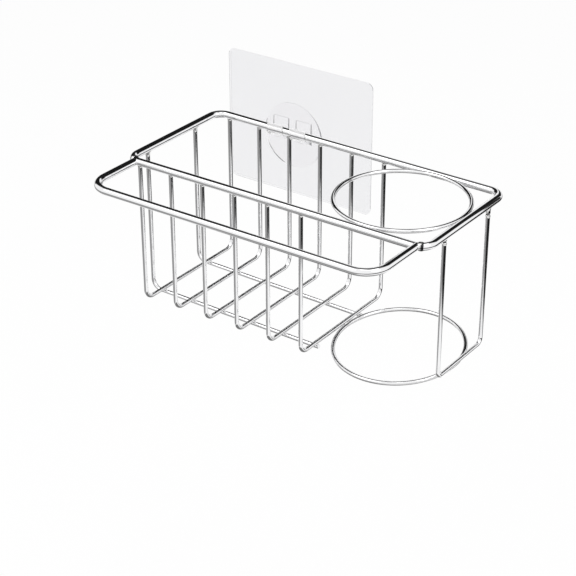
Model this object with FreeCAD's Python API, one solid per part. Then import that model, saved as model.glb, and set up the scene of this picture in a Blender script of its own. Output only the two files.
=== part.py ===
import FreeCAD, Part
import math
import os

# Wall-hung wire sponge holder: a bent-wire basket that hangs on a clear adhesive hook.
# Millimetres. +X runs along the wall to the right, +Y points into the wall, +Z is up.
# The origin is on the wall face, behind the middle of the hook's two prongs, level with the rim wire's centre.

Vector = FreeCAD.Vector

# Wire stock
rim_wire = 4.5               # diameter of the rim and of the hanging rail
thin_wire = 2.5              # diameter of the ribs, runners, rings and side frame

# Basket, measured between wire centres
tray_length = 200.0          # left end bar to right end bar
tray_depth = 82.0            # front bar to back bar, at the right end
front_bar_skew = 2.9         # the front bar's left end stands this much further out than its right end
rim_corner_radius = 8.0
rail_reach = 41.0            # front bar to the hanging rail
rail_inset = 5.8             # end bar to the rail arm beside it
rail_bend_radius = 13.0
side_frame_drop = 87.5       # rim to the bottom bar of the right side frame
side_frame_width = 46.5      # between the side frame's two uprights
side_frame_shift = 1.0       # the side frame's middle lies this far behind the basket's middle
side_frame_bend_radius = 3.6
first_rib_from_left = 8.8    # left end bar to the first tray rib
rib_count = 6
rib_bend_radius = 6.0
runner_from_front = 14.5     # front bar to the front floor runner
runner_spacing = 44.5        # front floor runner to back floor runner
runner_bend_radius = 6.0
runner_overhang = 2.0        # past the last rib
lower_ring_radius = 38.1     # to the wire's centre
ring_front_drop = 6.6        # the lower ring leans: its front hangs this much lower than its back

# Welded contacts
ring_inset_share = 0.95      # sideways part of the centre distance where the upper ring rests in the rim
ring_set_in = 1.0            # how far to the right the upper ring is let into the right bar
hung_inset_share = 0.6       # the same, where the lower ring hangs from the side frame and the last rib
arm_cope_share = 0.4         # of the rim's radius, how far a rail arm's end wraps round the bar

# Wall film and its adhesive
film_width = 104.0
film_height = 84.0
film_thickness = 0.8
film_corner_radius = 4.3
film_offset = 3.45           # the film's middle lies this far right of the hook
adhesive_thickness = 0.5
adhesive_inset = 1.0         # film edge to adhesive edge

# Clear hook moulding
ribs_left_of_hook_count = 2  # the hook's two prongs straddle the next rib
disc_diameter = 41.0
disc_thickness = 1.2
disc_edge_radius = 0.5
disc_drop = 3.4              # rim wire's centre down to the disc's centre
prong_width = 11.0
prong_spacing = 16.4
hook_back_wall = 1.2         # between the disc and the cradle
hook_wall = 1.6              # of the cradle and its front lip
hook_clearance = 0.3         # round the rim wire in the cradle
lip_height = 4.7             # above the rim wire's centre
shoulder_height = 3.0        # where the cradle's back wall starts to slope to the disc
prong_top = 7.4              # above the rim wire's centre, at the disc
prong_top_land = 1.0         # flat on top of the prong, at the disc
prong_foot = 7.0             # below the rim wire's centre, at the disc

# Places from the wall forwards
film_front_y = -adhesive_thickness - film_thickness
disc_front_y = film_front_y - disc_thickness
cradle_radius = rim_wire / 2 + hook_clearance
back_bar_y = disc_front_y - hook_back_wall - cradle_radius
front_bar_y = back_bar_y - tray_depth
middle_y = (front_bar_y + back_bar_y) / 2

# The upper ring rests in the rim, on the front and back bars, and is let into the right bar
ring_contact = (rim_wire + thin_wire) / 2
ring_inset = ring_contact * ring_inset_share
ring_rise = math.sqrt(ring_contact ** 2 - ring_inset ** 2)
skew_share = front_bar_skew / tray_length
upper_ring_radius = (tray_depth / 2 - ring_inset + skew_share * ring_inset / 2) / (1 - skew_share / 2)

# The lower ring hangs from the side frame's bottom bar and, one wire lower, from the last rib.
# Seen along the bars, the leaning ring is a slim ellipse that touches both of them from below.
ring_half_drop = ring_front_drop / 2
hung_drop_share = math.sqrt(1 - hung_inset_share ** 2)
hung_angle = math.atan2(ring_half_drop * hung_drop_share, lower_ring_radius * hung_inset_share)
hung_span = 2 * (lower_ring_radius * math.cos(hung_angle) + thin_wire * hung_inset_share)
hung_drop = ring_half_drop * math.sin(hung_angle) + thin_wire * hung_drop_share
side_lean = math.asin(thin_wire / hung_span)
front_lean = math.asin(ring_half_drop / lower_ring_radius)
last_rib_from_left = tray_length - hung_span * math.cos(side_lean)
rib_pitch = (last_rib_from_left - first_rib_from_left) / (rib_count - 1)
straddled_rib_from_left = first_rib_from_left + ribs_left_of_hook_count * rib_pitch
left_bar_x = -straddled_rib_from_left
right_bar_x = left_bar_x + tray_length
rib_floor_z = -side_frame_drop - thin_wire
runner_z = rib_floor_z - thin_wire


def bend_points(before, corner, after, bend_radius):
    """Start, middle and end of the arc that rounds a corner."""
    back = (before - corner).normalize()
    ahead = (after - corner).normalize()
    half_angle = back.getAngle(ahead) / 2
    setback = bend_radius / math.tan(half_angle)
    middle_distance = bend_radius / math.sin(half_angle) - bend_radius
    middle = corner + (back + ahead).normalize() * middle_distance
    return corner + back * setback, middle, corner + ahead * setback


def open_path(points, bend_radius):
    """Straight runs joined by tangent arcs, from the first point to the last."""
    edges = []
    run_start = points[0]
    for before, corner, after in zip(points, points[1:], points[2:]):
        start, middle, end = bend_points(before, corner, after, bend_radius)
        edges.append(Part.LineSegment(run_start, start).toShape())
        edges.append(Part.Arc(start, middle, end).toShape())
        run_start = end
    edges.append(Part.LineSegment(run_start, points[-1]).toShape())
    return Part.Wire(edges)


def closed_path(points, bend_radius):
    """A loop of straight runs joined by tangent arcs."""
    following = points[1:] + points[:1]
    previous = points[-1:] + points[:-1]
    corners = zip(previous, points, following)
    bends = [bend_points(before, corner, after, bend_radius) for before, corner, after in corners]
    edges = []
    for (start, middle, end), next_bend in zip(bends, bends[1:] + bends[:1]):
        edges.append(Part.Arc(start, middle, end).toShape())
        edges.append(Part.LineSegment(end, next_bend[0]).toShape())
    return Part.Wire(edges)


def bent_wire(path, diameter):
    """Round wire along a path."""
    first = path.Edges[0]
    start = first.valueAt(first.FirstParameter)
    direction = first.tangentAt(first.FirstParameter)
    section = Part.Face(Part.Wire([Part.Circle(start, direction, diameter / 2).toShape()]))
    return path.makePipe(section)


def front_bar_at(x):
    """The front bar's place at one point of its length."""
    return front_bar_y - skew_share * (right_bar_x - x)


def rim_bar_loop():
    corners = [
        Vector(left_bar_x, front_bar_at(left_bar_x), 0),
        Vector(right_bar_x, front_bar_y, 0),
        Vector(right_bar_x, back_bar_y, 0),
        Vector(left_bar_x, back_bar_y, 0),
    ]
    return bent_wire(closed_path(corners, rim_corner_radius), rim_wire)


def rail(rim):
    """The hanging rail: two arms butted to the front bar and the rail between them."""
    arm_start = rim_wire / 2 * (1 - arm_cope_share)
    left_arm_x = left_bar_x + rail_inset
    right_arm_x = right_bar_x - rail_inset
    left_y = front_bar_at(left_arm_x)
    right_y = front_bar_at(right_arm_x)
    corners = [
        Vector(left_arm_x, left_y - arm_start, 0),
        Vector(left_arm_x, left_y - rail_reach, 0),
        Vector(right_arm_x, right_y - rail_reach, 0),
        Vector(right_arm_x, right_y - arm_start, 0),
    ]
    return bent_wire(open_path(corners, rail_bend_radius), rim_wire).cut(rim)


def tray_rib(rim, from_left):
    """One U from the front bar, under the tray, to the back bar."""
    rib_x = left_bar_x + from_left
    front_y = front_bar_at(rib_x)
    corners = [
        Vector(rib_x, front_y, 0),
        Vector(rib_x, front_y, rib_floor_z),
        Vector(rib_x, back_bar_y, rib_floor_z),
        Vector(rib_x, back_bar_y, 0),
    ]
    return bent_wire(open_path(corners, rib_bend_radius), thin_wire).cut(rim)


def floor_runner(rim, from_front):
    """An L that stands under the left bar and runs below the ribs, which lie on it."""
    runner_y = front_bar_y + from_front
    end_x = left_bar_x + last_rib_from_left + runner_overhang
    corners = [
        Vector(left_bar_x, runner_y, 0),
        Vector(left_bar_x, runner_y, runner_z),
        Vector(end_x, runner_y, runner_z),
    ]
    return bent_wire(open_path(corners, runner_bend_radius), thin_wire).cut(rim)


def side_frame(rim):
    """The U under the right bar that carries the lower ring."""
    frame_y = middle_y + side_frame_shift
    front_y = frame_y - side_frame_width / 2
    back_y = frame_y + side_frame_width / 2
    corners = [
        Vector(right_bar_x, front_y, 0),
        Vector(right_bar_x, front_y, -side_frame_drop),
        Vector(right_bar_x, back_y, -side_frame_drop),
        Vector(right_bar_x, back_y, 0),
    ]
    return bent_wire(open_path(corners, side_frame_bend_radius), thin_wire).cut(rim)


def upper_ring(rim):
    """The ring in the rim, cut away where it is let into the bars."""
    from_bar = ring_inset + upper_ring_radius
    centre = Vector(right_bar_x - from_bar + ring_set_in, back_bar_y - from_bar, ring_rise)
    return Part.makeTorus(upper_ring_radius, thin_wire / 2, centre).cut(rim)


def lower_ring():
    """The same ring, with its left side and its front hanging lower."""
    middle_x = right_bar_x - hung_span * math.cos(side_lean) / 2
    middle = Vector(middle_x, middle_y, -side_frame_drop - thin_wire / 2)
    upright = Vector(-math.sin(side_lean), 0, math.cos(side_lean))
    axis = upright * math.cos(front_lean) + Vector(0, -math.sin(front_lean), 0)
    return Part.makeTorus(lower_ring_radius, thin_wire / 2, middle - upright * hung_drop, axis)


def wall_sheet(edge_inset, back_y, thickness):
    """A sheet with the film's outline, set in from its edge, on the wall or on the adhesive."""
    half_width = film_width / 2 - edge_inset
    half_height = film_height / 2 - edge_inset
    left = film_offset - half_width
    right = film_offset + half_width
    corners = [
        Vector(left, back_y, -half_height),
        Vector(right, back_y, -half_height),
        Vector(right, back_y, half_height),
        Vector(left, back_y, half_height),
    ]
    outline = closed_path(corners, film_corner_radius - edge_inset)
    return Part.Face(outline).extrude(Vector(0, -thickness, 0))


def prong(centre_x):
    """One J that cradles the back bar, drawn as a side profile about the bar's centre."""
    left_x = centre_x - prong_width / 2
    disc_face = cradle_radius + hook_back_wall
    outer_radius = cradle_radius + hook_wall
    lip_round = hook_wall / 2
    slant = outer_radius * math.cos(math.pi / 4)

    def at(towards_wall, height):
        return Vector(left_x, back_bar_y + towards_wall, height)

    back_top = at(disc_face, prong_top)
    land_end = at(disc_face - prong_top_land, prong_top)
    shoulder = at(cradle_radius, shoulder_height)
    cradle_back = at(cradle_radius, 0)
    cradle_low = at(0, -cradle_radius)
    cradle_front = at(-cradle_radius, 0)
    lip_inside = at(-cradle_radius, lip_height - lip_round)
    lip_crest = at(-cradle_radius - lip_round, lip_height)
    lip_outside = at(-outer_radius, lip_height - lip_round)
    outer_front = at(-outer_radius, 0)
    outer_slant = at(-slant, -slant)
    outer_low = at(0, -outer_radius)
    foot = at(disc_face, -prong_foot)
    outline = Part.Wire([
        Part.LineSegment(back_top, land_end).toShape(),
        Part.LineSegment(land_end, shoulder).toShape(),
        Part.LineSegment(shoulder, cradle_back).toShape(),
        Part.Arc(cradle_back, cradle_low, cradle_front).toShape(),
        Part.LineSegment(cradle_front, lip_inside).toShape(),
        Part.Arc(lip_inside, lip_crest, lip_outside).toShape(),
        Part.LineSegment(lip_outside, outer_front).toShape(),
        Part.Arc(outer_front, outer_slant, outer_low).toShape(),
        Part.LineSegment(outer_low, foot).toShape(),
        Part.LineSegment(foot, back_top).toShape(),
    ])
    return Part.Face(outline).extrude(Vector(prong_width, 0, 0))


def hook():
    """A round base with two prongs, one moulding."""
    base = Vector(0, film_front_y, -disc_drop)
    disc = Part.makeCylinder(disc_diameter / 2, disc_thickness, base, Vector(0, -1, 0))
    disc_middle_y = (film_front_y + disc_front_y) / 2
    front_edges = [edge for edge in disc.Edges if edge.BoundBox.YMax < disc_middle_y]
    disc = disc.makeFillet(disc_edge_radius, front_edges)
    prongs = [prong(side * prong_spacing / 2) for side in (-1, 1)]
    return disc.fuse(prongs).removeSplitter()


rim = rim_bar_loop()

pieces = {
    "adhesive_layer": wall_sheet(adhesive_inset, 0, adhesive_thickness),
    "wall_film": wall_sheet(0, -adhesive_thickness, film_thickness),
    "wall_hook": hook(),
    "rim_wire": rim,
    "hanging_rail": rail(rim),
    "upper_tool_ring": upper_ring(rim),
    "lower_tool_ring": lower_ring(),
    "right_side_frame": side_frame(rim),
    "front_floor_runner": floor_runner(rim, runner_from_front),
    "back_floor_runner": floor_runner(rim, runner_from_front + runner_spacing),
}
for number in range(rib_count):
    pieces[f"tray_rib_{number + 1}"] = tray_rib(rim, first_rib_from_left + number * rib_pitch)

os.makedirs("parts", exist_ok=True)
for name, shape in pieces.items():
    shape.exportStep(f"parts/{name}.step")
    print(f"{name}: {len(shape.Solids)} solid, {shape.Volume:.1f} mm3")
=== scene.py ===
import math

import bmesh
import bpy
from mathutils import Euler, Matrix, Vector


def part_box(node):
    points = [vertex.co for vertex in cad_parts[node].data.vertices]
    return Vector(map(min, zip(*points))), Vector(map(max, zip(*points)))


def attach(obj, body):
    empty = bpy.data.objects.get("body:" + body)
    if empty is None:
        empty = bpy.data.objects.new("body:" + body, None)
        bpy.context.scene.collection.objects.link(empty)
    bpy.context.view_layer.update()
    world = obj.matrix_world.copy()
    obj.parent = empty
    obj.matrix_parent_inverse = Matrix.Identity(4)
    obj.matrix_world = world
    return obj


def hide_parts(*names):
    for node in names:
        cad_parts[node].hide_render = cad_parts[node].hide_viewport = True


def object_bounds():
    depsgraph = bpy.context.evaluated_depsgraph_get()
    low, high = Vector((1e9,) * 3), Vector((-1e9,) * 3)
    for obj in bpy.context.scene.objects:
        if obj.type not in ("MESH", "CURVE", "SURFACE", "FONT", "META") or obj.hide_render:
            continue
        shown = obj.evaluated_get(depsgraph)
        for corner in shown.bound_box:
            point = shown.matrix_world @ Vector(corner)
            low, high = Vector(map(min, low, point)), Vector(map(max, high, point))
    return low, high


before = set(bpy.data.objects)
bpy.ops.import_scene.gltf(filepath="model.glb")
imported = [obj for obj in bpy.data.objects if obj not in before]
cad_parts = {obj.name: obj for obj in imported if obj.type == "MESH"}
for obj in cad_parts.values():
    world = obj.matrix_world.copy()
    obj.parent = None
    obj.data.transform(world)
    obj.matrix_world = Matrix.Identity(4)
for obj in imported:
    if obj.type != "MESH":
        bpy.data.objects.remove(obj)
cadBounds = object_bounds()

mm = 0.001
collection = bpy.context.scene.collection
print("frame loaded:", len(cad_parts), "nodes")


# Small helpers for node trees

mixShare, mixFirst, mixSecond, mixResult = 0, 6, 7, 2   # a colour mix's sockets
noiseReach = (0.3, 0.7)        # where most of a noise's values lie
noiseMiddle = 0.5


def link(tree, source, target):
    tree.links.new(source, target)


def feed(tree, value, socket):
    if isinstance(value, bpy.types.NodeSocket):
        link(tree, value, socket)
    else:
        socket.default_value = value


def addNode(tree, kind, settings=None, values=None):
    node = tree.nodes.new(kind)
    for name, value in (settings or {}).items():
        setattr(node, name, value)
    for name, value in (values or {}).items():
        feed(tree, value, node.inputs[name])
    return node


def addMath(tree, operation, first, second=0.0):
    node = addNode(tree, "ShaderNodeMath", {"operation": operation})
    feed(tree, first, node.inputs[0])
    feed(tree, second, node.inputs[1])
    return node.outputs[0]


def ramp(tree, source, start, end, low=0.0, high=1.0, kind="LINEAR"):
    reach = {"Value": source, "From Min": start, "From Max": end, "To Min": low, "To Max": high}
    return addNode(tree, "ShaderNodeMapRange", {"interpolation_type": kind}, reach).outputs["Result"]


def stepUp(tree, source, start, end, low=0.0, high=1.0):
    return ramp(tree, source, start, end, low, high, "SMOOTHSTEP")


def splitVector(tree, vector):
    return addNode(tree, "ShaderNodeSeparateXYZ", values={"Vector": vector}).outputs


def objectPlace(tree):
    return addNode(tree, "ShaderNodeTexCoord").outputs["Object"]


# Finishes

def emptyFinish(name):
    finish = bpy.data.materials.new(name)
    finish.use_nodes = True
    tree = finish.node_tree
    tree.nodes.clear()
    return finish, tree, addNode(tree, "ShaderNodeOutputMaterial")


def newFinish(name):
    finish, tree, output = emptyFinish(name)
    shader = addNode(tree, "ShaderNodeBsdfPrincipled")
    link(tree, shader.outputs["BSDF"], output.inputs["Surface"])
    return finish, tree, shader


def noiseAt(tree, place, scale, detail, stretch=(1, 1, 1)):
    mapping = addNode(tree, "ShaderNodeMapping", values={"Vector": place, "Scale": stretch})
    noise = addNode(tree, "ShaderNodeTexNoise", values={"Scale": scale, "Detail": detail})
    link(tree, mapping.outputs["Vector"], noise.inputs["Vector"])
    return noise.outputs["Fac"]


def spread(tree, noise, low, high):
    return ramp(tree, noise, *noiseReach, low, high)


def mixColours(tree, share, first, second):
    mix = addNode(tree, "ShaderNodeMix", {"data_type": "RGBA"})
    link(tree, share, mix.inputs[mixShare])
    for index, colour in ((mixFirst, first), (mixSecond, second)):
        feed(tree, (*colour, 1) if isinstance(colour, tuple) else colour, mix.inputs[index])
    return mix.outputs[mixResult]


def bump(tree, source, strength, distance, shader):
    node = addNode(tree, "ShaderNodeBump", values={"Strength": strength, "Distance": distance})
    link(tree, source, node.inputs["Height"])
    link(tree, node.outputs["Normal"], shader.inputs["Normal"])


brightWire = {
    "dark": (0.84, 0.84, 0.85),
    "light": (0.95, 0.95, 0.955),
    "cloudScale": 60.0,
    "cloudDetail": 2.0,
    "smooth": 0.025,
    "rough": 0.085,
    "linesAround": 5.0,        # drawn lines, on the unit circle round the wire
    "linesAlong": 45.0,        # per metre of wire
    "lineDetail": 3.0,
    "lineStrength": 0.35,
    "lineDepth": 0.006 * mm,
}


def brightWireFinish():
    look = brightWire
    finish, tree, shader = newFinish("brightWire")
    lay = addNode(tree, "ShaderNodeAttribute", {"attribute_name": "wireLay"}).outputs["Vector"]
    stretch = (look["linesAround"], look["linesAround"], look["linesAlong"])
    lines = noiseAt(tree, lay, 1.0, look["lineDetail"], stretch)
    cloud = noiseAt(tree, objectPlace(tree), look["cloudScale"], look["cloudDetail"])
    link(tree, mixColours(tree, cloud, look["dark"], look["light"]), shader.inputs["Base Color"])
    link(tree, spread(tree, lines, look["smooth"], look["rough"]), shader.inputs["Roughness"])
    bump(tree, lines, look["lineStrength"], look["lineDepth"], shader)
    shader.inputs["Metallic"].default_value = 1.0
    return finish


weldSpot = {
    "dark": (0.70, 0.695, 0.68),
    "light": (0.93, 0.93, 0.93),
    # painted shade: near black, laid into weld creases in place of the dark reflection there
    "creaseShade": (0.03, 0.03, 0.032),
    "smooth": 0.03,
    "rough": 0.10,
    "rippleScale": 900.0,
    "rippleDetail": 2.0,
    "rippleStrength": 0.4,
    "rippleDepth": 0.01 * mm,
}


def weldSpotFinish():
    look = weldSpot
    finish, tree, shader = newFinish("weldSpot")
    ripple = noiseAt(tree, objectPlace(tree), look["rippleScale"], look["rippleDetail"])
    metal = mixColours(tree, ripple, look["dark"], look["light"])
    # painted shade: the marked share turns the metal near black in the creases
    paintedShade = addNode(tree, "ShaderNodeAttribute", {"attribute_name": "paintedCreaseShade"}).outputs["Fac"]
    link(tree, mixColours(tree, paintedShade, metal, look["creaseShade"]), shader.inputs["Base Color"])
    link(tree, spread(tree, ripple, look["smooth"], look["rough"]), shader.inputs["Roughness"])
    bump(tree, ripple, look["rippleStrength"], look["rippleDepth"], shader)
    shader.inputs["Metallic"].default_value = 1.0
    return finish


clearPlastic = {"cloudDetail": 3.0, "grainDetail": 2.0, "grainStrength": 0.3}


def hookShades(tree, look, base):
    low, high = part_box("wall_hook")
    coords = addNode(tree, "ShaderNodeTexCoord").outputs
    place = splitVector(tree, coords["Object"])
    facing = splitVector(tree, coords["Normal"])
    # painted highlight: the lips' fronts turn partly milky white, fading towards the wall and downwards
    towardsWall = stepUp(tree, place["Y"], low.y, low.y + look["highlightDepth"], 1.0 - look["paintedHighlight"])
    downwards = stepUp(tree, place["Z"], look["highlightFrom"], look["highlightFoot"])
    clearness = addMath(tree, "MAXIMUM", towardsWall, downwards)
    # painted shade on the right-facing faces near the film
    darkFrom = high.y - look["edgeDepth"]
    atBack = ramp(tree, place["Y"], darkFrom - look["edgeBlend"], darkFrom)
    rightSideShade = addMath(tree, "MULTIPLY", ramp(tree, facing["X"], *look["edgeFacing"]), atBack)
    return mixColours(tree, rightSideShade, base, look["edge"]), clearness


def clearFinish(name, look):
    finish, tree, shader = newFinish(name)
    place = objectPlace(tree)
    cloud = noiseAt(tree, place, look["cloudScale"], clearPlastic["cloudDetail"], look["cloudStretch"])
    grain = noiseAt(tree, place, look["grainScale"], clearPlastic["grainDetail"])
    base = mixColours(tree, cloud, look["dark"], look["light"])
    shader.inputs["Transmission Weight"].default_value = 1.0
    if "paintedHighlight" in look:
        base, clearness = hookShades(tree, look, base)
        link(tree, clearness, shader.inputs["Transmission Weight"])
    link(tree, base, shader.inputs["Base Color"])
    link(tree, spread(tree, cloud, look["smooth"], look["rough"]), shader.inputs["Roughness"])
    bump(tree, grain, clearPlastic["grainStrength"], look["grainDepth"], shader)
    shader.inputs["IOR"].default_value = look["ior"]
    return finish


clearFilm = {
    "dark": (0.885, 0.885, 0.898),
    "light": (0.912, 0.912, 0.923),
    "smooth": 0.03,
    "rough": 0.10,
    "ior": 1.12,
    "cloudScale": 25.0,
    "cloudStretch": (1, 1, 0.6),
    "grainScale": 700.0,
    "grainDepth": 0.01 * mm,
}

clearHook = {
    "dark": (0.975, 0.970, 0.975),
    "light": (0.998, 0.993, 0.998),
    "smooth": 0.0,
    "rough": 0.05,
    "ior": 1.18,
    "cloudScale": 90.0,
    "cloudStretch": (1, 1, 0.4),
    "grainScale": 400.0,
    "grainDepth": 0.008 * mm,
    "edge": (0.22, 0.22, 0.23),   # painted shade on its right-hand side faces, standing in for the dark refraction at a clear moulding's edges
    "edgeFacing": (0.55, 0.95),   # how squarely a face looks right where that starts and is full
    "edgeDepth": 3.0 * mm,     # how far from the film the painted shade reaches
    "edgeBlend": 2.0 * mm,
    "paintedHighlight": 0.65,             # painted highlight: a milky white share at the lips' fronts, standing in for their bright highlight
    "highlightDepth": 4.0 * mm,    # over which it fades towards the wall
    "highlightFrom": 2.4 * mm,     # height below which it fades, and where it is gone
    "highlightFoot": 1.0 * mm,
}

clearGel = {
    "dark": (0.985, 0.985, 0.988),
    "light": (0.995, 0.995, 0.995),
    "smooth": 0.10,
    "rough": 0.25,
    "ior": 1.10,
    "cloudScale": 120.0,
    "cloudStretch": (1, 1, 1),
    "grainScale": 1500.0,
    "grainDepth": 0.02 * mm,
}

finishes = {
    "wire": brightWireFinish(),
    "weld": weldSpotFinish(),
    "film": clearFinish("clearFilm", clearFilm),
    "hook": clearFinish("clearHook", clearHook),
    "gel": clearFinish("clearGel", clearGel),
}
print("finishes made:", len(finishes))


# Geometry Nodes: trees, and how one is run on a source mesh

socketKinds = {"size": "NodeSocketFloat", "count": "NodeSocketInt", "finish": "NodeSocketMaterial",
               "vector": "NodeSocketVector"}


def newTree(name, inputs):
    tree = bpy.data.node_groups.new(name, "GeometryNodeTree")
    tree.interface.new_socket("Geometry", in_out="INPUT", socket_type="NodeSocketGeometry")
    for label, kind in inputs.items():
        tree.interface.new_socket(label, in_out="INPUT", socket_type=socketKinds[kind])
    tree.interface.new_socket("Geometry", in_out="OUTPUT", socket_type="NodeSocketGeometry")
    given = addNode(tree, "NodeGroupInput").outputs
    return tree, given


def endTree(tree, given, geometry):
    smooth = addNode(tree, "GeometryNodeSetShadeSmooth")
    realize = addNode(tree, "GeometryNodeRealizeInstances")
    paint = addNode(tree, "GeometryNodeSetMaterial")
    output = addNode(tree, "NodeGroupOutput")
    link(tree, geometry, smooth.inputs["Geometry"])
    link(tree, smooth.outputs["Geometry"], realize.inputs["Geometry"])
    link(tree, realize.outputs["Geometry"], paint.inputs["Geometry"])
    link(tree, given["Finish"], paint.inputs["Material"])
    link(tree, paint.outputs["Geometry"], output.inputs["Geometry"])
    return tree


def meshOf(name, points, edges=()):
    mesh = bpy.data.meshes.new(name)
    mesh.from_pydata([tuple(p) for p in points], list(edges), [])
    return mesh


def addObject(name, mesh):
    piece = bpy.data.objects.new(name, mesh)
    collection.objects.link(piece)
    return piece


def plainMesh(source):
    graph = bpy.context.evaluated_depsgraph_get()
    final = source.evaluated_get(graph)
    return bpy.data.meshes.new_from_object(final, preserve_all_data_layers=True, depsgraph=graph)


def runTree(name, tree, mesh, values):
    source = addObject(name + "Source", mesh)
    modifier = source.modifiers.new("build", "NODES")
    modifier.node_group = tree
    for item in tree.interface.items_tree:
        if item.in_out == "INPUT" and item.name in values:
            modifier[item.identifier] = values[item.name]
    built = plainMesh(source)
    bpy.data.objects.remove(source)
    built.name = name
    return addObject(name, built)


def settle(piece, body, slot, *nodes):
    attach(piece, body)
    if nodes:
        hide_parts(*nodes)


# Wire sweep, shared by the bent wires and the rings: wireLay holds the place round and along the wire

def sweepWire(tree, given, curve):
    along = addNode(tree, "GeometryNodeSplineParameter")
    keepAlong = addNode(tree, "GeometryNodeCaptureAttribute", {"domain": "POINT"})
    keepAlong.capture_items.new("FLOAT", "along")
    circle = addNode(tree, "GeometryNodeCurvePrimitiveCircle", {"mode": "RADIUS"})
    around = addNode(tree, "GeometryNodeSplineParameter")
    keepAround = addNode(tree, "GeometryNodeCaptureAttribute", {"domain": "POINT"})
    keepAround.capture_items.new("FLOAT", "around")
    sweep = addNode(tree, "GeometryNodeCurveToMesh", values={"Fill Caps": True})
    link(tree, curve, keepAlong.inputs["Geometry"])
    link(tree, along.outputs["Length"], keepAlong.inputs[1])
    link(tree, given["Sides"], circle.inputs["Resolution"])
    link(tree, given["Wire Radius"], circle.inputs["Radius"])
    link(tree, circle.outputs["Curve"], keepAround.inputs["Geometry"])
    link(tree, around.outputs["Factor"], keepAround.inputs[1])
    link(tree, keepAlong.outputs["Geometry"], sweep.inputs["Curve"])
    link(tree, keepAround.outputs["Geometry"], sweep.inputs["Profile Curve"])
    turn = addMath(tree, "MULTIPLY", keepAround.outputs[1], math.tau)
    lay = addNode(tree, "ShaderNodeCombineXYZ")
    link(tree, addMath(tree, "COSINE", turn), lay.inputs["X"])
    link(tree, addMath(tree, "SINE", turn), lay.inputs["Y"])
    link(tree, keepAlong.outputs[1], lay.inputs["Z"])
    store = addNode(tree, "GeometryNodeStoreNamedAttribute", {"data_type": "FLOAT_VECTOR", "domain": "POINT"})
    store.inputs["Name"].default_value = "wireLay"
    link(tree, sweep.outputs["Mesh"], store.inputs["Geometry"])
    link(tree, lay.outputs["Vector"], store.inputs["Value"])
    return endTree(tree, given, store.outputs["Geometry"])


def bentWireTree():
    tree, given = newTree("bentWire", {"Wire Radius": "size", "Bend Radius": "size", "Bend Steps": "count",
                                       "Sides": "count", "Finish": "finish"})
    path = addNode(tree, "GeometryNodeMeshToCurve")
    bend = addNode(tree, "GeometryNodeFilletCurve", {"mode": "POLY"}, {"Limit Radius": True})
    link(tree, given["Geometry"], path.inputs["Mesh"])
    link(tree, path.outputs["Curve"], bend.inputs["Curve"])
    link(tree, given["Bend Steps"], bend.inputs["Count"])
    link(tree, given["Bend Radius"], bend.inputs["Radius"])
    return sweepWire(tree, given, bend.outputs["Curve"])


def wireRingTree():
    tree, given = newTree("wireRing", {"Ring Radius": "size", "Ring Steps": "count", "Centre": "vector",
                                       "Lean": "vector", "Wire Radius": "size", "Sides": "count",
                                       "Finish": "finish"})
    ring = addNode(tree, "GeometryNodeCurvePrimitiveCircle", {"mode": "RADIUS"})
    move = addNode(tree, "GeometryNodeTransform")
    link(tree, given["Ring Steps"], ring.inputs["Resolution"])
    link(tree, given["Ring Radius"], ring.inputs["Radius"])
    link(tree, ring.outputs["Curve"], move.inputs["Geometry"])
    link(tree, given["Lean"], move.inputs["Rotation"])
    link(tree, given["Centre"], move.inputs["Translation"])
    return sweepWire(tree, given, move.outputs["Geometry"])


bentWire = bentWireTree()
wireRing = wireRingTree()


# Places taken from the frame

def wireBox(node, thinAxis):
    low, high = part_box(node)
    radius = (high[thinAxis] - low[thinAxis]) / 2
    return low + Vector((radius,) * 3), high - Vector((radius,) * 3), radius


rimLow, rimHigh, rimRadius = wireBox("rim_wire", 2)
rimLevel = (rimLow.z + rimHigh.z) / 2
railLow, railHigh, railRadius = wireBox("hanging_rail", 2)
frameLow, frameHigh, thinRadius = wireBox("right_side_frame", 0)
ringLow, ringHigh, ringWire = wireBox("upper_tool_ring", 2)
ringRadius = (ringHigh.y - ringLow.y) / 2
ringMiddle = (ringLow + ringHigh) / 2
# This ring's right end is cut where it is let into the bar, so its left end gives the centre
upperRingCentre = Vector((ringLow.x + ringRadius, ringMiddle.y, ringMiddle.z))
lowerRingLow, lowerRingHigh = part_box("lower_tool_ring")
lowerRingCentre = (lowerRingLow + lowerRingHigh) / 2
ribNames = sorted(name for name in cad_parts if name.startswith("tray_rib_"))
runnerNames = ["front_floor_runner", "back_floor_runner"]

wires = {
    "sides": 32,
    "bendSteps": 14,
    "rimBend": 8.0 * mm,
    "trayDepth": 82.0 * mm,    # between the front and back bars' centres, at the right end
    "frontSkew": 2.9 * mm,     # how much further out the front bar's left end stands
    "railReach": 41.0 * mm,
    "railBend": 13.0 * mm,
    "ribBend": 6.0 * mm,
    "runnerBend": 6.0 * mm,
    "frameBend": 3.6 * mm,
    "frameStart": (4.6 * mm, 6.9 * mm),   # front and back, below the rim, inside the weld necks' feet
    "ringSteps": 144,
    "lowerRingRadius": 38.1 * mm,
    "lowerRingLean": (math.radians(4.97), math.radians(-1.82), 0.0),   # front down, left side down
    "lowerRingHung": math.radians(6.59),   # how far behind its middle the lower ring touches its bars
}

noTurn = (0.0, 0.0, 0.0)
quarterTurn = (0.0, 0.0, math.pi / 2)


def bendWire(name, points, radius, bendRadius, closed=False):
    edges = [(i, i + 1) for i in range(len(points) - 1)]
    if closed:
        edges.append((len(points) - 1, 0))
    return runTree(name, bentWire, meshOf(name + "Path", points, edges), {
        "Wire Radius": radius,
        "Bend Radius": bendRadius,
        "Bend Steps": wires["bendSteps"],
        "Sides": wires["sides"],
        "Finish": finishes["wire"],
    })


def frontBarAt(x):
    share = (rimHigh.x - x) / (rimHigh.x - rimLow.x)
    return rimHigh.y - wires["trayDepth"] - wires["frontSkew"] * share


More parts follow.
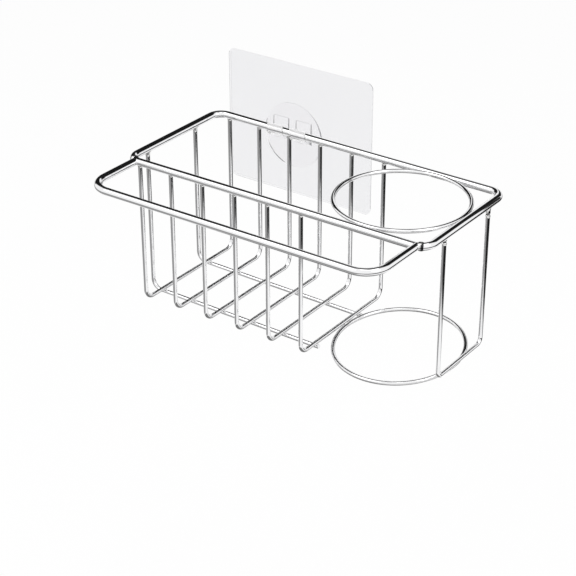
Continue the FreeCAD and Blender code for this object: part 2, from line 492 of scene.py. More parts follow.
def rimLoop():
    corners = [(rimLow.x, frontBarAt(rimLow.x), rimLevel), (rimHigh.x, frontBarAt(rimHigh.x), rimLevel),
               (rimHigh.x, rimHigh.y, rimLevel), (rimLow.x, rimHigh.y, rimLevel)]
    return bendWire("rimLoop", corners, rimRadius, wires["rimBend"], closed=True)


def hangingRail():
    leftY = frontBarAt(railLow.x)
    rightY = frontBarAt(railHigh.x)
    reach = wires["railReach"]
    corners = [(railLow.x, leftY, rimLevel), (railLow.x, leftY - reach, rimLevel),
               (railHigh.x, rightY - reach, rimLevel), (railHigh.x, rightY, rimLevel)]
    return bendWire("hangingRail", corners, railRadius, wires["railBend"])


def sideFrame():
    x = (frameLow.x + frameHigh.x) / 2
    frontTop, backTop = [rimLevel - start for start in wires["frameStart"]]
    corners = [(x, frameLow.y, frontTop), (x, frameLow.y, frameLow.z),
               (x, frameHigh.y, frameLow.z), (x, frameHigh.y, backTop)]
    return bendWire("rightSideFrame", corners, thinRadius, wires["frameBend"])


def trayRib(node):
    low, high, radius = wireBox(node, 0)
    corners = [(low.x, low.y, rimLevel), (low.x, low.y, low.z),
               (low.x, high.y, low.z), (low.x, high.y, rimLevel)]
    return bendWire("trayRib" + node.split("_")[-1], corners, radius, wires["ribBend"])


def floorRunner(node):
    low, high, radius = wireBox(node, 1)
    corners = [(low.x, low.y, rimLevel), (low.x, low.y, low.z), (high.x + radius, low.y, low.z)]
    return bendWire(node.split("_")[0] + "FloorRunner", corners, radius, wires["runnerBend"])


def toolRing(name, centre, radius, lean):
    return runTree(name, wireRing, meshOf(name + "Seed", [(0, 0, 0)]), {
        "Ring Radius": radius,
        "Ring Steps": wires["ringSteps"],
        "Centre": centre,
        "Lean": lean,
        "Wire Radius": ringWire,
        "Sides": wires["sides"],
        "Finish": finishes["wire"],
    })


bentWires = {"rim_wire": rimLoop(), "hanging_rail": hangingRail(), "right_side_frame": sideFrame()}
bentWires.update({node: trayRib(node) for node in ribNames})
bentWires.update({node: floorRunner(node) for node in runnerNames})
bentWires["upper_tool_ring"] = toolRing("upperToolRing", upperRingCentre, ringRadius, noTurn)
bentWires["lower_tool_ring"] = toolRing("lowerToolRing", lowerRingCentre, wires["lowerRingRadius"],
                                        wires["lowerRingLean"])
for node, piece in bentWires.items():
    settle(piece, "basket", "bright_wire", node)
print("wires bent:", len(bentWires))


# Polished welds: a flared neck where an upright meets a bar, and a nugget where wires cross or butt; painted
# shade darkens the necks' grooves and the rail arms' bead ends

def profileCurve(tree, factor, points):
    node = addNode(tree, "ShaderNodeFloatCurve")
    curve = node.mapping.curves[0]
    curve.points[0].location = points[0]
    curve.points[1].location = points[-1]
    for point in points[1:-1]:
        curve.points.new(*point)
    node.mapping.update()
    link(tree, factor, node.inputs["Value"])
    return node.outputs["Value"]


weldNeck = {
    "start": 0.55,             # of the bar's radius, below the bar's centre
    "rings": 48,
    "sides": 28,
    "swell": 2.0,              # the profile's value of 1, in wire radii
    "spreadPower": 3.0,        # how fast the spread along the bar dies away down the wire
    "shadeFrom": 0.49,          # share of the profile below which a groove gets painted shade, and where it is full
    "shadeFull": 0.43,
}

neckKinds = {                  # length, spread along the bar, and radius from the bar down to the wire
    "rib": (2.0 * mm, 0.30, [(0.0, 0.70), (0.40, 0.58), (1.0, 0.497)]),
    "runner": (4.2 * mm, 0.75, [(0.0, 0.84), (0.30, 0.64), (0.60, 0.53), (1.0, 0.497)]),
    "frameFront": (4.1 * mm, 0.40, [(0.0, 0.66), (0.25, 0.53), (0.42, 0.52), (0.53, 0.24), (0.63, 0.50),
                                    (0.74, 0.58), (0.87, 0.56), (1.0, 0.497)]),
    "frameBack": (6.6 * mm, 0.40, [(0.0, 0.74), (0.22, 0.55), (0.50, 0.52), (0.62, 0.52), (0.70, 0.24),
                                   (0.76, 0.50), (0.83, 0.57), (0.92, 0.55), (1.0, 0.497)]),
}


# Marks the points of a weld's crease that get painted shade, for the finish to darken
def storeCreaseShade(tree, shape, amount):
    store = addNode(tree, "GeometryNodeStoreNamedAttribute", {"data_type": "FLOAT", "domain": "POINT"},
                    {"Name": "paintedCreaseShade"})
    link(tree, shape, store.inputs["Geometry"])
    link(tree, amount, store.inputs["Value"])
    return store.outputs["Geometry"]


def weldNeckTree(name, profile):
    tree, given = newTree(name, {"Wire Radius": "size", "Start": "size", "Length": "size", "Rings": "count",
                                 "Sides": "count", "Spread Along Bar": "size", "Turn": "vector",
                                 "Finish": "finish"})
    start = addNode(tree, "ShaderNodeCombineXYZ")
    end = addNode(tree, "ShaderNodeCombineXYZ")
    startZ = addMath(tree, "MULTIPLY", given["Start"], -1.0)
    endZ = addMath(tree, "SUBTRACT", startZ, given["Length"])
    link(tree, startZ, start.inputs["Z"])
    link(tree, endZ, end.inputs["Z"])
    axis = addNode(tree, "GeometryNodeCurvePrimitiveLine", {"mode": "POINTS"})
    link(tree, start.outputs["Vector"], axis.inputs["Start"])
    link(tree, end.outputs["Vector"], axis.inputs["End"])
    steps = addNode(tree, "GeometryNodeResampleCurve", {"mode": "COUNT"})
    link(tree, axis.outputs["Curve"], steps.inputs["Curve"])
    link(tree, given["Rings"], steps.inputs["Count"])
    along = addNode(tree, "GeometryNodeSplineParameter").outputs["Factor"]
    share = profileCurve(tree, along, profile)
    swell = addMath(tree, "MULTIPLY", share, weldNeck["swell"])
    circle = addNode(tree, "GeometryNodeCurvePrimitiveCircle", {"mode": "RADIUS"})
    link(tree, given["Sides"], circle.inputs["Resolution"])
    link(tree, given["Wire Radius"], circle.inputs["Radius"])
    # painted shade in the groove where the profile narrows
    paintedShade = ramp(tree, share, weldNeck["shadeFrom"], weldNeck["shadeFull"])
    marked = storeCreaseShade(tree, steps.outputs["Curve"], paintedShade)
    turned = addNode(tree, "GeometryNodeCurveToMesh", values={"Fill Caps": True})
    link(tree, marked, turned.inputs["Curve"])
    link(tree, circle.outputs["Curve"], turned.inputs["Profile Curve"])
    link(tree, swell, turned.inputs["Scale"])
    place = splitVector(tree, addNode(tree, "GeometryNodeInputPosition").outputs["Position"])
    depth = ramp(tree, place["Z"], startZ, endZ, 1.0, 0.0)
    widen = addMath(tree, "POWER", depth, weldNeck["spreadPower"])
    widen = addMath(tree, "MULTIPLY", widen, given["Spread Along Bar"])
    offset = addNode(tree, "ShaderNodeCombineXYZ")
    link(tree, addMath(tree, "MULTIPLY", place["X"], widen), offset.inputs["X"])
    shaped = addNode(tree, "GeometryNodeSetPosition")
    link(tree, turned.outputs["Mesh"], shaped.inputs["Geometry"])
    link(tree, offset.outputs["Vector"], shaped.inputs["Offset"])
    copies = addNode(tree, "GeometryNodeInstanceOnPoints")
    link(tree, given["Geometry"], copies.inputs["Points"])
    link(tree, shaped.outputs["Geometry"], copies.inputs["Instance"])
    link(tree, given["Turn"], copies.inputs["Rotation"])
    return endTree(tree, given, copies.outputs["Instances"])


nuggets = {
    "segments": 36,
    "rings": 20,
    "ripple": 0.10 * mm,
    "rippleScale": 900.0,
    "rippleSeed": 7.0,
    "rippleDetail": 1.0,
    "armShade": 0.30,           # share of the bead's length, from its middle, where the painted shade at its end starts
    "noShade": 2.0,             # past a nugget's ends, so that none of it gets painted shade
    "shadeBlend": 0.08,
    "armButt": (2.6 * mm, 2.65 * mm, 2.65 * mm),
    "armShift": 2.1 * mm,      # outwards, where the rim starts to bend
    "armBack": 1.4 * mm,       # behind the front bar's centre
    "ringOnLongBar": (2.6 * mm, 0.95 * mm, 0.95 * mm),
    "ringOnEndBar": (0.95 * mm, 2.6 * mm, 0.95 * mm),
    "crossing": (1.0 * mm, 1.0 * mm, 0.5 * mm),
}


def weldNuggetTree():
    tree, given = newTree("weldNugget", {"Nugget Size": "vector", "Segments": "count", "Rings": "count",
                                         "Ripple": "size", "Shade From": "size", "Finish": "finish"})
    ball = addNode(tree, "GeometryNodeMeshUVSphere", values={"Radius": 1.0})
    link(tree, given["Segments"], ball.inputs["Segments"])
    link(tree, given["Rings"], ball.inputs["Rings"])
    place = splitVector(tree, addNode(tree, "GeometryNodeInputPosition").outputs["Position"])
    # painted shade at the bead's ends, standing in for the dark crease where it meets the bar
    shadeFull = addMath(tree, "ADD", given["Shade From"], nuggets["shadeBlend"])
    paintedShade = ramp(tree, addMath(tree, "ABSOLUTE", place["X"]), given["Shade From"], shadeFull)
    copies = addNode(tree, "GeometryNodeInstanceOnPoints")
    link(tree, given["Geometry"], copies.inputs["Points"])
    link(tree, storeCreaseShade(tree, ball.outputs["Mesh"], paintedShade), copies.inputs["Instance"])
    link(tree, given["Nugget Size"], copies.inputs["Scale"])
    solid = addNode(tree, "GeometryNodeRealizeInstances")
    link(tree, copies.outputs["Instances"], solid.inputs["Geometry"])
    noise = addNode(tree, "ShaderNodeTexNoise", {"noise_dimensions": "4D"}, {
        "W": nuggets["rippleSeed"], "Scale": nuggets["rippleScale"], "Detail": nuggets["rippleDetail"]})
    normal = addNode(tree, "GeometryNodeInputNormal")
    upAndDown = addMath(tree, "SUBTRACT", noise.outputs["Fac"], noiseMiddle)
    ripple = addMath(tree, "MULTIPLY", upAndDown, given["Ripple"])
    offset = addNode(tree, "ShaderNodeVectorMath", {"operation": "SCALE"})
    link(tree, normal.outputs["Normal"], offset.inputs[0])
    link(tree, ripple, offset.inputs["Scale"])
    rippled = addNode(tree, "GeometryNodeSetPosition")
    link(tree, solid.outputs["Geometry"], rippled.inputs["Geometry"])
    link(tree, offset.outputs["Vector"], rippled.inputs["Offset"])
    return endTree(tree, given, rippled.outputs["Geometry"])


nuggetTree = weldNuggetTree()


def weldNecks(name, kind, points, turn):
    length, wider, profile = neckKinds[kind]
    return runTree(name, weldNeckTree(kind + "WeldNeck", profile), meshOf(name + "Points", points), {
        "Wire Radius": thinRadius,
        "Start": rimRadius * weldNeck["start"],
        "Length": length,
        "Rings": weldNeck["rings"],
        "Sides": weldNeck["sides"],
        "Spread Along Bar": wider,
        "Turn": turn,
        "Finish": finishes["weld"],
    })


def weldNuggets(name, points, size, shadeFrom=nuggets["noShade"]):
    return runTree(name, nuggetTree, meshOf(name + "Points", points), {
        "Nugget Size": size,
        "Segments": nuggets["segments"],
        "Rings": nuggets["rings"],
        "Ripple": nuggets["ripple"],
        "Shade From": shadeFrom,
        "Finish": finishes["weld"],
    })


def between(first, second, firstRadius, secondRadius):
    return first.lerp(second, firstRadius / (firstRadius + secondRadius))


def weldPoints():
    points = {"longBar": [], "leftBar": [], "frameFront": [], "frameBack": [], "arm": [], "ringLong": [],
              "ringEnd": [], "crossing": []}
    ribs = [wireBox(node, 0)[:2] for node in ribNames]
    runnerLows = [wireBox(node, 1)[0] for node in runnerNames]
    for low, high in ribs:
        points["longBar"] += [(low.x, low.y, rimLevel), (low.x, high.y, rimLevel)]
        points["crossing"] += [(low.x, runner.y, (low.z + runner.z) / 2) for runner in runnerLows]
    points["leftBar"] += [(runner.x, runner.y, rimLevel) for runner in runnerLows]
    points["frameFront"].append((frameLow.x, frameLow.y, rimLevel))
    points["frameBack"].append((frameLow.x, frameHigh.y, rimLevel))
    for armX, shift in ((railLow.x, -nuggets["armShift"]), (railHigh.x, nuggets["armShift"])):
        points["arm"].append((armX + shift, frontBarAt(armX) + nuggets["armBack"], rimLevel))
    upper = upperRingCentre
    for ringY, barY in ((ringLow.y, frontBarAt(upper.x)), (ringHigh.y, rimHigh.y)):
        onRing = Vector((upper.x, ringY, upper.z))
        onBar = Vector((upper.x, barY, rimLevel))
        points["ringLong"].append(between(onRing, onBar, ringWire, rimRadius))
    onRing = Vector((upper.x + ringRadius, upper.y, upper.z))
    onBar = Vector((rimHigh.x, upper.y, rimLevel))
    points["ringEnd"].append(between(onRing, onBar, ringWire, rimRadius))
    lower = lowerRingCentre
    lean = Euler(wires["lowerRingLean"]).to_matrix()
    hung = wires["lowerRingHung"]
    lastRib = ribs[-1][0]
    for side, bar in ((1, frameLow), (-1, lastRib)):
        flat = Vector((side * math.cos(hung), math.sin(hung), 0)) * wires["lowerRingRadius"]
        onRing = lower + lean @ flat
        onBar = Vector((bar.x, onRing.y, bar.z))
        points["ringEnd"].append(between(onRing, onBar, ringWire, thinRadius))
    return points


welds = weldPoints()
for piece in (
    weldNecks("longBarWelds", "rib", welds["longBar"], noTurn),
    weldNecks("leftBarWelds", "runner", welds["leftBar"], quarterTurn),
    weldNecks("frameFrontWeld", "frameFront", welds["frameFront"], quarterTurn),
    weldNecks("frameBackWeld", "frameBack", welds["frameBack"], quarterTurn),
    weldNuggets("railArmWelds", welds["arm"], nuggets["armButt"], nuggets["armShade"]),
    weldNuggets("ringLongBarWelds", welds["ringLong"], nuggets["ringOnLongBar"]),
    weldNuggets("ringEndBarWelds", welds["ringEnd"], nuggets["ringOnEndBar"]),
    weldNuggets("crossingWelds", welds["crossing"], nuggets["crossing"]),
):
    settle(piece, "basket", "bright_wire")
print("welds placed:", sum(len(group) for group in welds.values()))


# Wall film, its gel and the hook moulding

def arcPoints(centre, radius, startTurn, endTurn, steps):
    turns = [startTurn + (endTurn - startTurn) * i / steps for i in range(steps + 1)]
    return [(centre[0] + radius * math.cos(turn), centre[1] + radius * math.sin(turn)) for turn in turns]


moulded = {
    "mergeDistance": 0.0005 * mm,
    "sharpAngle": math.radians(35),
    "bevelSegments": 3,
    "bevelProfile": 0.5,
}


def smoothMesh(mesh):
    mesh.shade_smooth()
    mesh.set_sharp_from_angle(angle=moulded["sharpAngle"])


def finishMesh(name, shape, finish):
    bmesh.ops.remove_doubles(shape, verts=shape.verts, dist=moulded["mergeDistance"])
    bmesh.ops.recalc_face_normals(shape, faces=shape.faces)
    mesh = bpy.data.meshes.new(name)
    shape.to_mesh(mesh)
    shape.free()
    mesh.materials.append(finish)
    smoothMesh(mesh)
    return mesh


def bevelEdges(shape, edges, size, clamp):
    bmesh.ops.bevel(shape, geom=edges, offset=size, segments=moulded["bevelSegments"],
                    profile=moulded["bevelProfile"], affect="EDGES", clamp_overlap=clamp)


def extrudeOutline(outline, toPoint, direction):
    shape = bmesh.new()
    face = shape.faces.new([shape.verts.new(toPoint(*p)) for p in outline])
    swept = bmesh.ops.extrude_face_region(shape, geom=[face])
    moved = [item for item in swept["geom"] if isinstance(item, bmesh.types.BMVert)]
    bmesh.ops.translate(shape, verts=moved, vec=direction)
    return shape


wallSheet = {
    "filmCorner": 4.3 * mm,
    "gelCorner": 3.3 * mm,
    "cornerSteps": 12,
    "filmEdge": 0.22 * mm,
    "gelEdge": 0.12 * mm,
    "gap": 0.02 * mm,          # keeps the film, gel and hook faces from lying in each other
}


def roundedSheet(name, node, corner, edge, finish, backGap):
    low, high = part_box(node)
    rightAngle = math.pi / 2
    steps = wallSheet["cornerSteps"]
    centres = [(high.x - corner, high.z - corner), (low.x + corner, high.z - corner),
               (low.x + corner, low.z + corner), (high.x - corner, low.z + corner)]
    outline = []
    for quarter, centre in enumerate(centres):
        outline += arcPoints(centre, corner, quarter * rightAngle, (quarter + 1) * rightAngle, steps)
    backY = high.y - backGap
    thickness = Vector((0, low.y - backY, 0))
    shape = extrudeOutline(outline, lambda x, z: (x, backY, z), thickness)
    rims = [e for e in shape.edges if abs(e.verts[0].co.y - e.verts[1].co.y) < thickness.length / 2]
    bevelEdges(shape, rims, edge, False)
    return addObject(name, finishMesh(name, shape, finish))


wallFilm = roundedSheet("wallFilm", "wall_film", wallSheet["filmCorner"], wallSheet["filmEdge"],
                        finishes["film"], wallSheet["gap"])
adhesiveGel = roundedSheet("adhesiveGel", "adhesive_layer", wallSheet["gelCorner"], wallSheet["gelEdge"],
                           finishes["gel"], 0.0)
settle(wallFilm, "wall_mount", "clear_film", "wall_film")
settle(adhesiveGel, "wall_mount", "clear_gel", "adhesive_layer")
print("film and gel made")

hook = {
    "discSteps": 96,
    "edgeRound": 0.5 * mm,
    "roundSteps": 8,
    "discThickness": 1.2 * mm,
    "prongWidth": 11.0 * mm,
    "prongSpacing": 16.4 * mm,
    "backWall": 1.2 * mm,
    "sink": 0.6 * mm,          # how far a prong's back is let into the disc
    "wall": 1.6 * mm,
    "clearance": 0.3 * mm,
    "lipHeight": 4.7 * mm,
    "shoulder": 3.0 * mm,
    "top": 7.4 * mm,
    "topLand": 1.0 * mm,
    "foot": 7.0 * mm,
    "arcSteps": 20,
    "prongEdge": 0.45 * mm,
}


def hookDisc(low, high):
    outer = (high.x - low.x) / 2
    backY = high.y - wallSheet["gap"]
    frontY = high.y - hook["discThickness"]
    edge = hook["edgeRound"]
    outline = [(0.0, frontY)]
    outline += arcPoints((outer - edge, frontY + edge), edge, -math.pi / 2, 0.0, hook["roundSteps"])
    outline += [(outer, backY), (0.0, backY)]
    shape = bmesh.new()
    verts = [shape.verts.new((r, y, 0.0)) for r, y in outline]
    edges = [shape.edges.new(pair) for pair in zip(verts, verts[1:])]
    bmesh.ops.spin(shape, geom=verts + edges, cent=(0, 0, 0), axis=(0, 1, 0), angle=math.tau,
                   steps=hook["discSteps"], use_duplicate=False)
    centre = Vector(((low.x + high.x) / 2, 0, (low.z + high.z) / 2))
    bmesh.ops.translate(shape, verts=shape.verts, vec=centre)
    return finishMesh("hookDisc", shape, finishes["hook"])


def prongOutline():
    cradle = rimRadius + hook["clearance"]
    face = cradle + hook["backWall"]
    outer = cradle + hook["wall"]
    lipRound = hook["wall"] / 2
    steps = hook["arcSteps"]
    back = face + hook["sink"]
    outline = [(back, hook["top"]), (face - hook["topLand"], hook["top"]), (cradle, hook["shoulder"])]
    outline += arcPoints((0.0, 0.0), cradle, 0.0, -math.pi, steps)
    outline += arcPoints((-cradle - lipRound, hook["lipHeight"] - lipRound), lipRound, 0.0, math.pi, steps)
    outline += arcPoints((0.0, 0.0), outer, math.pi, math.pi * 1.5, steps)
    outline += [(face, -hook["foot"]), (back, -hook["foot"])]
    return outline


def hookProng(centreX):
    width = hook["prongWidth"]
    left = centreX - width / 2
    shape = extrudeOutline(prongOutline(), lambda y, z: (left, rimHigh.y + y, rimLevel + z),
                           Vector((width, 0, 0)))
    sides = [e for e in shape.edges if abs(e.verts[0].co.x - e.verts[1].co.x) < width / 2]
    bevelEdges(shape, sides, hook["prongEdge"], True)
    return finishMesh("hookProng", shape, finishes["hook"])


def wallHook():
    low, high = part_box("wall_hook")
    centreX = (low.x + high.x) / 2
    halfSpacing = hook["prongSpacing"] / 2
    base = addObject("wallHook", hookDisc(low, high))
    prongs = [addObject("hookProng", hookProng(centreX + shift)) for shift in (-halfSpacing, halfSpacing)]
    for prong in prongs:
        union = base.modifiers.new("union", "BOOLEAN")
        union.operation = "UNION"
        union.solver = "EXACT"
        union.object = prong
    base.data = plainMesh(base)
    base.modifiers.clear()
    for prong in prongs:
        bpy.data.objects.remove(prong)
    smoothMesh(base.data)
    return base


clearHookBody = wallHook()
settle(clearHookBody, "wall_mount", "clear_hook", "wall_hook")
for piece in (wallFilm, adhesiveGel, clearHookBody):
    piece.visible_glossy = False   # they barely show in the wires
print("hook moulded")


# Studio: pale floor, white surround, soft lamps and dark cards that only reflections see

plainWhite = (1, 1, 1, 1)

studio = {
    "floorDrop": 0.19,         # below the basket's lowest wire
    "floorSize": 6.0,
    "floorColour": (0.94, 0.94, 0.94, 1),
    "floorFadeStart": 1.2,
    "floorFadeEnd": 2.6,
    "floorWhite": 0.85,        # share of plain white in what is seen of the floor
    "ambient": 0.80,           # what the white surround gives to matt surfaces
}

backCard = {
    "radius": 0.62,
    "turns": (math.radians(44), math.radians(179)),
    "low": -0.10,              # from the rim
    "high": 1.45,
    "steps": 48,
    "shade": 0.012,
    "endBlend": math.radians(8),
    "lowEdges": (0.20, 0.02, 0.30, -0.07),   # its lower edge, from the right end to the left end
    "edgeTurns": ((56, 66), (98, 107), (119, 130)),   # degrees, between those
    "lowBlend": 0.10,
    "highBlend": 0.30,
}

floorCard = {
    "lift": 1.0 * mm,          # above the floor
    "inner": 0.465,
    "innerBlend": 0.07,
    "backNearer": 0.10,        # how much nearer it comes at the back right
    "backTurn": math.radians(62),
    "backCosines": (0.80, 0.97),   # where that starts, and where it is full
    "frontNearer": 0.27,       # and at the front left
    "frontTurn": math.radians(-128),
    "frontCosines": (0.35, 0.80),
    "outer": 1.35,
    "outerBlend": 0.45,
    "shade": 0.015,
    "greyShade": 0.33,
    "darkTurn": math.radians(18),
    "greyCosines": (0.60, -0.30),   # full dark within the first, grey beyond the second
    "shadowPatch": 0.24,             # a grey patch right under the basket: a painted shadow of it, which only reflections see
    "patchBlend": 0.06,
    "patchShade": 0.20,
}

topCard = {
    "place": (-0.35, 0.45, 0.90),   # of its middle, from the basket's middle at the rim
    "half": (0.65, 0.55),
    "blend": 0.12,
    "shade": 0.20,
}

nearCard = {
    "place": (0.1602, 0.138, 0.03),  # of its middle, from the basket's middle at the rim
    "half": (0.020, 0.055),
    "blend": 0.008,
    "shade": 0.02,
}

camera = {
    "azimuth": math.radians(35.852),
    "elevation": math.radians(28.795),
    "roll": math.radians(-0.137),
    "place": Vector((0.5357, -0.7493, 0.3972)),
    "lens": 103.80,
    "sensor": 36.0,
}


def backVector(azimuth, elevation):
    flat = math.cos(elevation)
    return Vector((math.sin(azimuth) * flat, -math.cos(azimuth) * flat, math.sin(elevation)))


def addCamera():
    back = backVector(camera["azimuth"], camera["elevation"])
    right = Vector((math.cos(camera["azimuth"]), math.sin(camera["azimuth"]), 0))
    up = back.cross(right)
    turned = Matrix.Rotation(camera["roll"], 3, back)
    axes = Matrix((turned @ right, turned @ up, back)).transposed()
    data = bpy.data.cameras.new("photoCamera")
    data.lens = camera["lens"]
    data.sensor_width = camera["sensor"]
    eye = bpy.data.objects.new("photoCamera", data)
    eye.matrix_world = Matrix.Translation(camera["place"]) @ axes.to_4x4()
    collection.objects.link(eye)
    bpy.context.scene.camera = eye


def cardPlace(tree):
    x, y, height = splitVector(tree, objectPlace(tree))
    squares = addMath(tree, "ADD", addMath(tree, "MULTIPLY", x, x), addMath(tree, "MULTIPLY", y, y))
    return {"x": x, "y": y, "height": height, "turn": addMath(tree, "ARCTAN2", y, x),
            "distance": addMath(tree, "SQRT", squares)}


def mixShaders(tree, factor, first, second):
    mix = addNode(tree, "ShaderNodeMixShader")
    for source, socket in zip((factor, first, second), mix.inputs):
        link(tree, source, socket)
    return mix.outputs[0]


def directLook(tree):
    path = addNode(tree, "ShaderNodeLightPath")
    seen = addMath(tree, "MAXIMUM", path.outputs["Is Camera Ray"], path.outputs["Is Glossy Ray"])
    return addMath(tree, "MAXIMUM", seen, path.outputs["Is Transmission Ray"])


def floorFinish():
    finish, tree, output = emptyFinish("paleFloor")
    matt = addNode(tree, "ShaderNodeBsdfDiffuse", values={"Color": studio["floorColour"]})
    white = addNode(tree, "ShaderNodeEmission", values={"Color": plainWhite, "Strength": 1.0})
    clear = addNode(tree, "ShaderNodeBsdfTransparent")
    share = addMath(tree, "MULTIPLY", directLook(tree), studio["floorWhite"])
    pale = mixShaders(tree, share, matt.outputs[0], white.outputs[0])
    fade = stepUp(tree, cardPlace(tree)["distance"], studio["floorFadeStart"], studio["floorFadeEnd"])
    link(tree, mixShaders(tree, fade, pale, clear.outputs[0]), output.inputs["Surface"])
    return finish


def cardFinish(name, makeShade):
    finish, tree, output = emptyFinish(name)
    cover, shade = makeShade(tree, cardPlace(tree))
    path = addNode(tree, "ShaderNodeLightPath")
    mirrored = addMath(tree, "SUBTRACT", 1.0, path.outputs["Is Transmission Ray"])
    cover = addMath(tree, "MULTIPLY", cover, mirrored)
    clear = addNode(tree, "ShaderNodeBsdfTransparent")
    glow = addNode(tree, "ShaderNodeEmission", values={"Color": plainWhite, "Strength": shade})
    link(tree, mixShaders(tree, cover, clear.outputs[0], glow.outputs[0]), output.inputs["Surface"])
    return finish


def backCardShade(tree, place):
    turn = place["turn"]
    first, last = backCard["turns"]
    blend = backCard["endBlend"]
    edges = backCard["lowEdges"]
    above = addMath(tree, "SUBTRACT", place["height"], edges[0])
    for (start, end), before, after in zip(backCard["edgeTurns"], edges, edges[1:]):
        change = stepUp(tree, turn, math.radians(start), math.radians(end), 0.0, after - before)
        above = addMath(tree, "SUBTRACT", above, change)
    cover = stepUp(tree, above, 0.0, backCard["lowBlend"])
    top = stepUp(tree, place["height"], backCard["high"] - backCard["highBlend"], backCard["high"], 1.0, 0.0)
    ends = addMath(tree, "MULTIPLY", stepUp(tree, turn, first, first + blend),
                   stepUp(tree, turn, last - blend, last, 1.0, 0.0))
    return addMath(tree, "MULTIPLY", addMath(tree, "MULTIPLY", cover, top), ends), backCard["shade"]


def cosineFrom(tree, turn, middle):
    return addMath(tree, "COSINE", addMath(tree, "SUBTRACT", turn, middle))


def floorCardShade(tree, place):
    distance = place["distance"]
    moved = distance
    for side in ("back", "front"):
        facing = cosineFrom(tree, place["turn"], floorCard[side + "Turn"])
        nearer = stepUp(tree, facing, *floorCard[side + "Cosines"], 0.0, floorCard[side + "Nearer"])
        moved = addMath(tree, "ADD", moved, nearer)
    cover = stepUp(tree, moved, floorCard["inner"], floorCard["inner"] + floorCard["innerBlend"])
    far = stepUp(tree, distance, floorCard["outer"] - floorCard["outerBlend"], floorCard["outer"], 1.0, 0.0)
    darkest, palest = floorCard["greyCosines"]
    facing = cosineFrom(tree, place["turn"], floorCard["darkTurn"])
    grey = stepUp(tree, facing, palest, darkest, floorCard["greyShade"], floorCard["shade"])
    # painted shadow of the basket, right under it, seen only in reflections
    shadowPatch = stepUp(tree, distance, floorCard["shadowPatch"] - floorCard["patchBlend"], floorCard["shadowPatch"], 1.0, 0.0)
    besidePatch = addMath(tree, "MULTIPLY", grey, addMath(tree, "SUBTRACT", 1.0, shadowPatch))
    shade = addMath(tree, "ADD", besidePatch, addMath(tree, "MULTIPLY", shadowPatch, floorCard["patchShade"]))
    return addMath(tree, "MAXIMUM", addMath(tree, "MULTIPLY", cover, far), shadowPatch), shade


def softEdged(tree, card, *places):
    cover = 1.0
    for place, half in zip(places, card["half"]):
        inside = stepUp(tree, addMath(tree, "ABSOLUTE", place), half - card["blend"], half, 1.0, 0.0)
        cover = addMath(tree, "MULTIPLY", inside, cover)
    return cover, card["shade"]


def topCardShade(tree, place):
    return softEdged(tree, topCard, place["x"], place["y"])


def nearCardShade(tree, place):
    return softEdged(tree, nearCard, place["x"], place["height"])


def reflectionOnly(obj):
    obj.visible_camera = False
    obj.visible_diffuse = False
    obj.visible_transmission = False
    obj.visible_volume_scatter = False
    obj.visible_shadow = False


def addSquare(name, across, up, finish, place):
    mesh = bpy.data.meshes.new(name)
    across = Vector(across)
    up = Vector(up)
    corners = [-across - up, across - up, across + up, up - across]
    mesh.from_pydata([tuple(corner) for corner in corners], [], [(0, 1, 2, 3)])
    mesh.materials.append(finish)
    square = addObject(name, mesh)
    square.location = place
    return square


def addBackCard(place):
    first, last = backCard["turns"]
    steps = backCard["steps"]
    flat = arcPoints((0.0, 0.0), backCard["radius"], first, last, steps)
    lower = [(x, y, backCard["low"]) for x, y in flat]
    upper = [(x, y, backCard["high"]) for x, y in flat]
    faces = [(i, i + 1, steps + i + 2, steps + i + 1) for i in range(steps)]
    mesh = bpy.data.meshes.new("backCard")
    mesh.from_pydata(lower + upper, [], faces)
    mesh.materials.append(cardFinish("backCard", backCardShade))
    card = addObject("backCard", mesh)
    card.location = place
    return card


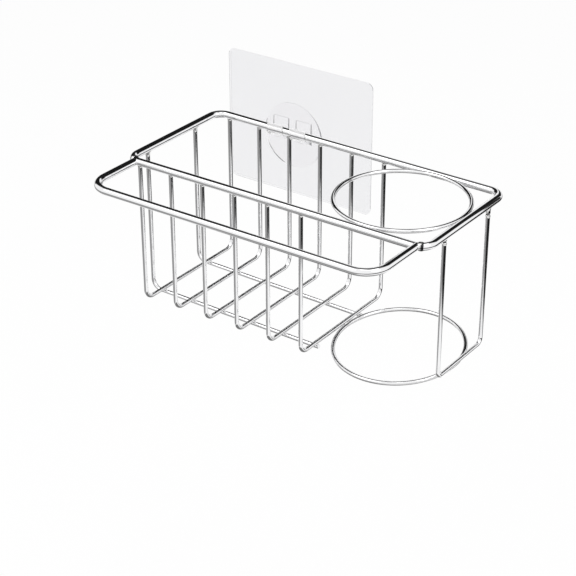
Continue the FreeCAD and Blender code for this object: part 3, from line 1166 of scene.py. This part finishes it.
def addStage():
    low, high = cadBounds
    middle = Vector(((low[0] + high[0]) / 2, (low[1] + high[1]) / 2, 0))
    ground = middle + Vector((0, 0, low[2] - studio["floorDrop"]))
    atRim = middle + Vector((0, 0, rimLevel))
    half = studio["floorSize"] / 2
    floor = addSquare("paleFloor", (half, 0, 0), (0, half, 0), floorFinish(), ground)
    outer = floorCard["outer"]
    ring = addSquare("floorCard", (outer, 0, 0), (0, outer, 0), cardFinish("floorCard", floorCardShade),
                     ground + Vector((0, 0, floorCard["lift"])))
    halfX, halfZ = nearCard["half"]
    near = addSquare("nearCard", (halfX, 0, 0), (0, 0, halfZ), cardFinish("nearCard", nearCardShade),
                     atRim + Vector(nearCard["place"]))
    halfX, halfY = topCard["half"]
    above = addSquare("topCard", (halfX, 0, 0), (0, halfY, 0), cardFinish("topCard", topCardShade),
                      atRim + Vector(topCard["place"]))
    card = addBackCard(atRim)
    for extra in (ring, near, above, card):
        reflectionOnly(extra)


lamps = {
    "key": {"place": (-0.7, -1.0, 1.3), "size": 0.9, "power": 5.0},
    "top": {"place": (0.2, 0.1, 1.5), "size": 1.0, "power": 4.0},
    "side": {"place": (1.3, -0.3, 0.9), "size": 0.7, "power": 2.5},
}


def addLamps():
    aim = Vector([(a + b) / 2 for a, b in zip(*cadBounds)])
    for name, lamp in lamps.items():
        data = bpy.data.lights.new(name + "Lamp", "AREA")
        data.shape = "SQUARE"
        data.size = lamp["size"]
        data.energy = lamp["power"]
        holder = bpy.data.objects.new(name + "Lamp", data)
        holder.location = lamp["place"]
        holder.rotation_euler = (aim - holder.location).to_track_quat("-Z", "Y").to_euler()
        collection.objects.link(holder)


def addSurround():
    world = bpy.data.worlds.new("whiteSurround")
    world.use_nodes = True
    tree = world.node_tree
    tree.nodes.clear()
    output = addNode(tree, "ShaderNodeOutputWorld")
    ambient = addNode(tree, "ShaderNodeBackground",
                      values={"Color": plainWhite, "Strength": studio["ambient"]})
    seen = addNode(tree, "ShaderNodeBackground", values={"Color": plainWhite, "Strength": 1.0})
    mixed = mixShaders(tree, directLook(tree), ambient.outputs[0], seen.outputs[0])
    link(tree, mixed, output.inputs["Surface"])
    bpy.context.scene.world = world


addCamera()
addStage()
addLamps()
addSurround()
bpy.context.scene.view_settings.view_transform = "Standard"
print("studio set")
